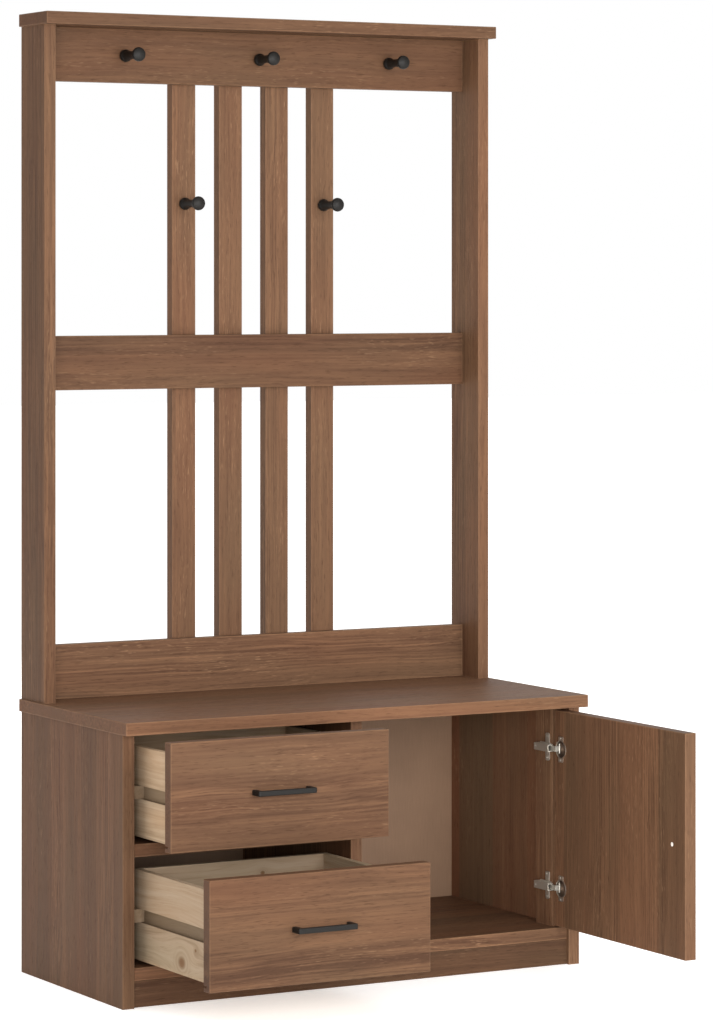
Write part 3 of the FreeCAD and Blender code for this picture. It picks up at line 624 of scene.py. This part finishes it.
    def _edge_highlight_mask(self, tree: Tree, place: Node) -> Feed:
        """The board's arrises, which get a painted highlight.

        A point is on an arris when two of its three distances to the faces of the board's box are
        small, so the second smallest of the three is what counts.

        Args:
            tree: The material's tree.
            place: The coordinates.

        Returns:
            A mask of them.
        """
        low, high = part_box(self.node_name)
        point = add(tree, "SeparateXYZ", place.outputs["Object"])
        gaps = []
        for i, axis in enumerate("XYZ"):
            off = add(tree, "Math.SUBTRACT", point.outputs[axis], (low[i] + high[i]) / 2)
            off = add(tree, "Math.ABSOLUTE", off)
            gaps.append(add(tree, "Math.SUBTRACT", (high[i] - low[i]) / 2, off))
        small = add(tree, "Math.MINIMUM", gaps[0], gaps[1])
        large = add(tree, "Math.MAXIMUM", gaps[0], gaps[1])
        second = add(tree, "Math.MAXIMUM", small, add(tree, "Math.MINIMUM", large, gaps[2]))
        highlight_reach = add(tree, "TexNoise", Vector=place.outputs["Object"], Scale=per_metre(self.HIGHLIGHT_PATCH_MM),
                     Detail=2.0)
        highlight_reach = add(tree, "Math.MULTIPLY", highlight_reach, self.HIGHLIGHT_REACH_MM * MM)
        return add(tree, "Math.LESS_THAN", second, highlight_reach)

    def _lay_over(self, tree: Tree, base: Feed, code: str, mask: Feed, depth: float) -> Feed:
        """Lay a colour over the base where the mask says.

        Args:
            tree: The material's tree.
            base: The colour so far.
            code: The colour to add, as sRGB hex.
            mask: Where it goes, from zero to one.
            depth: How much of it shows where the mask is one.

        Returns:
            The mixed colour.
        """
        amount = add(tree, "Math.MULTIPLY", mask, depth)
        mix = add(tree, "Mix", amount, data_type="RGBA", i6=base, i7=linear(code))
        return mix.outputs[2]


@dataclass(frozen=True)
class PaperedBoard:
    """Thin board with a printed brown paper face: even, nearly without grain and slightly matt.

    The print's clouds, and its lines across and up, are given by their sizes in millimetres.
    """

    name: str = "papered_board_brown"
    dark: str = "82654E"
    pale: str = "92735A"
    cloud_mm: float = 111.1
    line_mm: Point = (2.381, 2.381, 41.67)
    roughness: float = 0.6

    def build(self) -> bpy.types.Material:
        """Make the material: soft clouds and faint upright lines.

        Returns:
            The material.
        """
        material, tree, shader = new_material(self.name)
        place = add(tree, "TexCoord").outputs["Object"]
        cloud = add(tree, "TexNoise", Vector=place, Scale=per_metre(self.cloud_mm), Detail=4.0)
        lines = add(tree, "Mapping", place, Scale=tuple(map(per_metre, self.line_mm)))
        fine = add(tree, "TexNoise", Vector=lines, Scale=1.0, Detail=2.0)
        value = add(tree, "Math.MULTIPLY_ADD", fine, 0.35, add(tree, "Math.MULTIPLY", cloud, 0.65))
        colour = add(tree, "ValToRGB", value, stops=((0.3, self.dark), (0.7, self.pale)))
        feed(shader, Base_Color=colour, Roughness=self.roughness)
        return material


@dataclass(frozen=True)
class PowderCoat:
    """Charcoal powder coat on cast zinc: fine orange peel and a broad, soft highlight.

    The peel is given by its width and its height in millimetres.
    """

    name: str = "powder_coated_zinc_charcoal"
    dark: str = "100E0C"
    pale: str = "1A1714"
    peel_mm: float = 1.111
    peel_height_mm: float = 0.15
    roughness: float = 0.5
    specular: float = 0.22

    def build(self) -> bpy.types.Material:
        """Make the material, with a peel as wide as sprayed powder leaves it.

        Returns:
            The material.
        """
        material, tree, shader = new_material(self.name)
        place = add(tree, "TexCoord").outputs["Object"]
        peel = add(tree, "TexNoise", Vector=place, Scale=per_metre(self.peel_mm), Detail=2.0)
        colour = add(tree, "ValToRGB", peel, stops=((0.3, self.dark), (0.7, self.pale)))
        bump = add(tree, "Bump", Strength=0.5, Distance=self.peel_height_mm * MM, Height=peel)
        feed(shader, Base_Color=colour, Roughness=self.roughness, Normal=bump,
             Specular_IOR_Level=self.specular)
        return material


@dataclass(frozen=True)
class PlatedSteel:
    """Plated pressed steel: bright, with faint drawing marks that blur the highlight.

    The marks are given by their width, depth and height in millimetres.
    """

    name: str
    colour: str
    roughness: float
    # A darker colour painted into a cup's hollow as shade.
    hollow_shade: str = ""
    mark_mm: Point = (3.333, 3.333, 0.3846)
    mark_height_mm: float = 0.05

    def build(self) -> bpy.types.Material:
        """Make the material. A cup's hollow, where one is named, is darkened with painted shade.

        Returns:
            The material.
        """
        material, tree, shader = new_material(self.name)
        place = add(tree, "TexCoord").outputs["Object"]
        marks = add(tree, "Mapping", place, Scale=tuple(map(per_metre, self.mark_mm)))
        drawn = add(tree, "TexNoise", Vector=marks, Scale=1.0, Detail=2.0)
        gloss = add(tree, "Math.MULTIPLY_ADD", drawn, 0.2, self.roughness - 0.1)
        bump = add(tree, "Bump", Strength=0.3, Distance=self.mark_height_mm * MM, Height=drawn)
        feed(shader, Base_Color=linear(self.colour), Roughness=gloss, Normal=bump, Metallic=1.0)
        # Painted shade: the inside of the cup, behind the door's face, is darkened.
        if self.hollow_shade:
            point = add(tree, "SeparateXYZ", place)
            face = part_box("door_panel")[0][0] + 0.2 * MM
            inside = add(tree, "Math.GREATER_THAN", point.outputs["X"], face)
            mix = add(tree, "Mix", inside, data_type="RGBA", i6=linear(self.colour), i7=linear(self.hollow_shade))
            feed(shader, Base_Color=mix.outputs[2])
        return material


@dataclass(frozen=True)
class Nylon:
    """White nylon over a screw's head: moulded, smooth and slightly waxy, in marks of this width."""

    name: str = "white_nylon_head"
    colour: str = "F2EBE2"
    waxy_mm: float = 0.6667
    roughness: float = 0.4
    ior: float = 1.53

    def build(self) -> bpy.types.Material:
        """Make the material.

        Returns:
            The material.
        """
        material, tree, shader = new_material(self.name)
        place = add(tree, "TexCoord").outputs["Object"]
        waxy = add(tree, "TexNoise", Vector=place, Scale=per_metre(self.waxy_mm), Detail=1.0)
        gloss = add(tree, "Math.MULTIPLY_ADD", waxy, 0.1, self.roughness - 0.05)
        feed(shader, Base_Color=linear(self.colour), Roughness=gloss, IOR=self.ior)
        return material


@dataclass
class Cabinet:
    """The bench: carcass, the drawers' fronts and the door, all in stained hardwood."""

    boards: dict[str, Lay] = field(default_factory=lambda: {
        "side_left": Lay.SIDE, "side_right": Lay.SIDE, "divider": Lay.SIDE, "seat_board": Lay.SHELF,
        "floor_board": Lay.SHELF, "drawer_shelf": Lay.SHELF, "plinth": Lay.RAIL, "rear_plinth": Lay.RAIL,
        "hinge_post": Lay.SLAT, "upper_drawer_front": Lay.RAIL, "lower_drawer_front": Lay.RAIL,
        "door_panel": Lay.SIDE,
    })
    # Brightness factors per board: partly each board's own tone, partly painted light that lifts boards
    # lying in shade inside the cupboard and dims faces that catch more light.
    tones: dict[str, float] = field(default_factory=lambda: {
        "plinth": 0.62, "lower_drawer_front": 0.79, "side_left": 0.8, "side_right": 1.32,
        "floor_board": 1.1, "door_panel": 1.06, "upper_drawer_front": 0.96, "hinge_post": 1.3,
        "divider": 0.92, "seat_board": 1.04,
    })
    contrasts: dict[str, float] = field(default_factory=lambda: {"side_right": 0.36, "door_panel": 0.1})
    figures: dict[str, Figure] = field(default_factory=lambda: {"lower_drawer_front": Figure(104, 52)})
    first_seed: int = 3

    def dress(self) -> None:
        """Give each board its own piece of wood."""
        for seed, (name, lay) in enumerate(self.boards.items(), start=self.first_seed):
            finish = BoardFinish(STAINED, lay, name, seed, tone=self.tones.get(name, 1.0),
                                 figure=self.figures.get(name), contrast=self.contrasts.get(name, 0.04))
            dress(name, finish.build())
        dress("back_panel", PaperedBoard().build())


@dataclass
class Rack:
    """The coat rack: uprights, cap, rails, slats and turned knobs."""

    boards: dict[str, Lay] = field(default_factory=lambda: {
        "upright_left": Lay.SIDE, "upright_right": Lay.SIDE, "cap_board": Lay.SHELF,
        "top_rail": Lay.RAIL, "middle_rail": Lay.RAIL, "lower_rail": Lay.RAIL,
        "slat_1": Lay.SLAT, "slat_2": Lay.SLAT, "slat_3": Lay.SLAT, "slat_4": Lay.SLAT,
    })
    knob_count: int = 5
    # Brightness factors per board: partly each board's own tone, partly painted light and shade, lifting the
    # lower rail under the seat and dimming the left faces.
    tones: dict[str, float] = field(default_factory=lambda: {
        "top_rail": 0.75, "middle_rail": 0.76, "lower_rail": 1.08, "upright_left": 0.84, "cap_board": 0.86,
    })
    first_seed: int = 31

    def dress(self) -> None:
        """Give each board its own piece of wood and each knob its coating."""
        for seed, (name, lay) in enumerate(self.boards.items(), start=self.first_seed):
            dress(name, BoardFinish(STAINED, lay, name, seed, tone=self.tones.get(name, 1.0)).build())
        coating = PowderCoat().build()
        for number in range(1, self.knob_count + 1):
            dress(f"coat_knob_{number}", coating)


@dataclass
class Drawers:
    """Both drawer boxes and their runners in bare pine, with the drawers' handles."""

    levels: tuple[str, ...] = ("upper", "lower")
    lays: dict[str, Lay] = field(default_factory=lambda: {
        "side_left": Lay.RUNNER, "side_right": Lay.RUNNER, "back": Lay.RAIL, "bottom": Lay.SHELF,
    })
    knots: dict[str, tuple[Knot, ...]] = field(default_factory=lambda: {
        "lower_drawer_side_left": (Knot(-591, 104, 23), Knot(-646, 134, 7)),
        "lower_drawer_back": (Knot(-181, 222, 8),),
    })
    # Brightness factors per board: partly each board's own tone, partly painted light and shade for how
    # light falls on each.
    tones: dict[str, float] = field(default_factory=lambda: {
        "upper_drawer_side_left": 1.14, "lower_drawer_side_left": 0.85, "lower_drawer_back": 0.84,
    })
    # The runners are darkened as painted shade, for they sit in the shade beside the drawers.
    runner_tone: float = 0.62
    groove_depth_mm: float = 7.0
    first_runner_seed: int = 50
    first_box_seed: int = 61

    def dress(self) -> None:
        """Give the runners and the boxes their pine and the handles their coating."""
        runners = [f"{level}_runner_{side}" for level in self.levels for side in ("left", "right")]
        for seed, runner in enumerate(runners, start=self.first_runner_seed):
            dress(runner, BoardFinish(PINE, Lay.RUNNER, runner, seed, tone=self.runner_tone).build())
        parts = [(level, part) for level in self.levels for part in self.lays]
        for seed, (level, part) in enumerate(parts, start=self.first_box_seed):
            name = f"{level}_drawer_{part}"
            groove = self._groove(level) if part.startswith("side") else None
            finish = BoardFinish(PINE, self.lays[part], name, seed, knots=self.knots.get(name, ()),
                                 groove=groove, tone=self.tones.get(name, 1.0))
            dress(name, finish.build())
        coating = PowderCoat().build()
        for level in self.levels:
            dress(f"{level}_drawer_handle", coating)

    def _groove(self, level: str) -> Groove:
        """The groove that fits round a level's runner, read from the runner's own box."""
        low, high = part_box(f"{level}_runner_left")
        return Groove(low[2] / MM, high[2] / MM, self.groove_depth_mm)


@dataclass
class Hardware:
    """Hinges, screws, nails, dowels and the door's knob."""

    nickel: tuple[str, ...] = ("hinge_plates", "hinge_arms", "hinge_links", "hinge_cup_pins")
    zinc: tuple[str, ...] = (
        "hinge_screws", "hinge_cup_screws", "runner_screws", "slat_screws", "coat_knob_screws",
        "upper_drawer_handle_screws", "lower_drawer_handle_screws", "back_panel_nails",
    )
    nickel_tone: str = "D8D3C8"
    zinc_tone: str = "E6E4DE"
    # The painted shade in the hinge cups' hollows.
    cup_shade_tone: str = "93857A"
    pegs: tuple[str, ...] = ("dowels", "upper_drawer_dowels", "lower_drawer_dowels")
    peg_tone: float = 0.9
    first_peg_seed: int = 90

    def dress(self) -> None:
        """Give every piece of hardware its metal, its nylon or its wood."""
        nickel = PlatedSteel("nickel_plated_steel", self.nickel_tone, 0.55).build()
        cup = PlatedSteel("nickel_plated_steel_shaded_cup", self.nickel_tone, 0.4,
                          hollow_shade=self.cup_shade_tone).build()
        zinc = PlatedSteel("zinc_plated_steel", self.zinc_tone, 0.5).build()
        for name in self.nickel:
            dress(name, nickel)
        for name in self.zinc:
            dress(name, zinc)
        dress("hinge_cups", cup)
        dress("door_knob_screw", Nylon().build())
        dress("door_knob", PowderCoat().build())
        for seed, name in enumerate(self.pegs, start=self.first_peg_seed):
            dress(name, BoardFinish(PINE, Lay.RAIL, name, seed, tone=self.peg_tone).build())


@dataclass(frozen=True)
class Lamp:
    """One square area light: where it hangs and shines in metres, its side in metres and its watts."""

    name: str
    place: Point
    aim: Point
    size: float
    power: float
    mirrored: bool = True

    def hang(self) -> None:
        """Make the light and put it in the scene."""
        data = bpy.data.lights.new(self.name, "AREA")
        data.size = self.size
        data.energy = self.power
        holder = bpy.data.objects.new(self.name, data)
        holder.location = self.place
        direction = Vector(self.aim) - Vector(self.place)
        holder.rotation_euler = direction.to_track_quat("-Z", "Y").to_euler()
        holder.visible_glossy = self.mirrored
        bpy.context.scene.collection.objects.link(holder)


@dataclass
class Studio:
    """Pale floor, soft light and the camera."""

    lens_mm: float = 137.8
    sensor_mm: float = 36.0
    camera_at: Point = (-3.6152, -6.9003, 1.3452)
    camera_turn: float = -29.24
    shift_y: float = -0.2296
    sight: float = 100.0
    room: float = 0.6
    backdrop_span: tuple[float, float] = (0.7, 0.88)
    ceiling: float = 0.45
    ceiling_span: tuple[float, float] = (0.25, 0.85)
    floor_reach: float = 30.0
    floor_glow: float = 0.45
    paper: tuple[str, str] = ("F4F4F3", "FAFAF9")
    paper_cloud_mm: float = 250.0
    lamps: tuple[Lamp, ...] = (
        Lamp("front_light", (0.3, -6.5, 2.0), (0.0, 0.0, 0.8), 3.0, 300.0),
        Lamp("left_light", (-3.4, -5.6, 1.1), (0.0, 0.0, 0.7), 2.0, 175.0),
        Lamp("rear_light", (0.9, 5.5, 2.4), (0.0, 0.0, 0.9), 2.5, 130.0, mirrored=False),
    )

    def build(self) -> None:
        """Make the whole set."""
        bpy.context.scene.view_settings.view_transform = "Standard"
        self._floor()
        self._world()
        for lamp in self.lamps:
            lamp.hang()
        self._camera()

    def _floor(self) -> None:
        """A wide pale floor with a white, almost shadowless finish."""
        shape = bmesh.new()
        bmesh.ops.create_grid(shape, x_segments=1, y_segments=1, size=self.floor_reach)
        mesh = bpy.data.meshes.new("studio_floor")
        shape.to_mesh(mesh)
        shape.free()
        floor = bpy.data.objects.new("studio_floor", mesh)
        bpy.context.scene.collection.objects.link(floor)
        material, tree, shader = new_material("studio_paper_white")
        place = add(tree, "TexCoord").outputs["Object"]
        fibre = add(tree, "TexNoise", Vector=place, Scale=per_metre(self.paper_cloud_mm), Detail=2.0)
        colour = add(tree, "ValToRGB", fibre, stops=tuple(enumerate(self.paper)))
        feed(shader, Base_Color=colour, Roughness=0.9, Emission_Color=linear("FFFFFF"),
             Emission_Strength=self.floor_glow)
        mesh.materials.append(material)

    def _world(self) -> None:
        """A white backdrop behind the object, a somewhat dimmer room all round and a bright ceiling."""
        world = bpy.data.worlds.new("studio_surround")
        world.use_nodes = True
        tree = world.node_tree
        tree.nodes.clear()
        way = add(tree, "TexCoord").outputs["Generated"]
        turn = math.radians(-self.camera_turn)
        facing = add(tree, "VectorMath.DOT_PRODUCT", way, (math.sin(turn), math.cos(turn), 0.0))
        backdrop = add(tree, "MapRange", facing.outputs["Value"], *self.backdrop_span, self.room, 1.0)
        height = add(tree, "SeparateXYZ", way).outputs["Z"]
        above = add(tree, "MapRange", height, *self.ceiling_span, 0.0, self.ceiling)
        level = add(tree, "Math.ADD", backdrop, above)
        background = add(tree, "Background", linear("FFFFFF"), level)
        add(tree, "OutputWorld", background)
        bpy.context.scene.world = world

    def _camera(self) -> None:
        """A long lens at the height of a standing person's chest, turned towards the cupboard."""
        lens = bpy.data.cameras.new("camera")
        lens.lens = self.lens_mm
        lens.sensor_width = self.sensor_mm
        lens.shift_y = self.shift_y
        lens.clip_end = self.sight
        camera = bpy.data.objects.new("camera", lens)
        camera.location = self.camera_at
        camera.rotation_euler = (math.radians(90.0), 0.0, math.radians(self.camera_turn))
        bpy.context.scene.collection.objects.link(camera)
        bpy.context.scene.camera = camera


def main() -> None:
    """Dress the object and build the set."""
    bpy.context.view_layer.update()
    for assembly in (Cabinet(), Rack(), Drawers(), Hardware()):
        log.info("dressing the %s", type(assembly).__name__.lower())
        assembly.dress()
    Studio().build()
    bpy.context.view_layer.update()


if __name__ == "__main__":
    main()
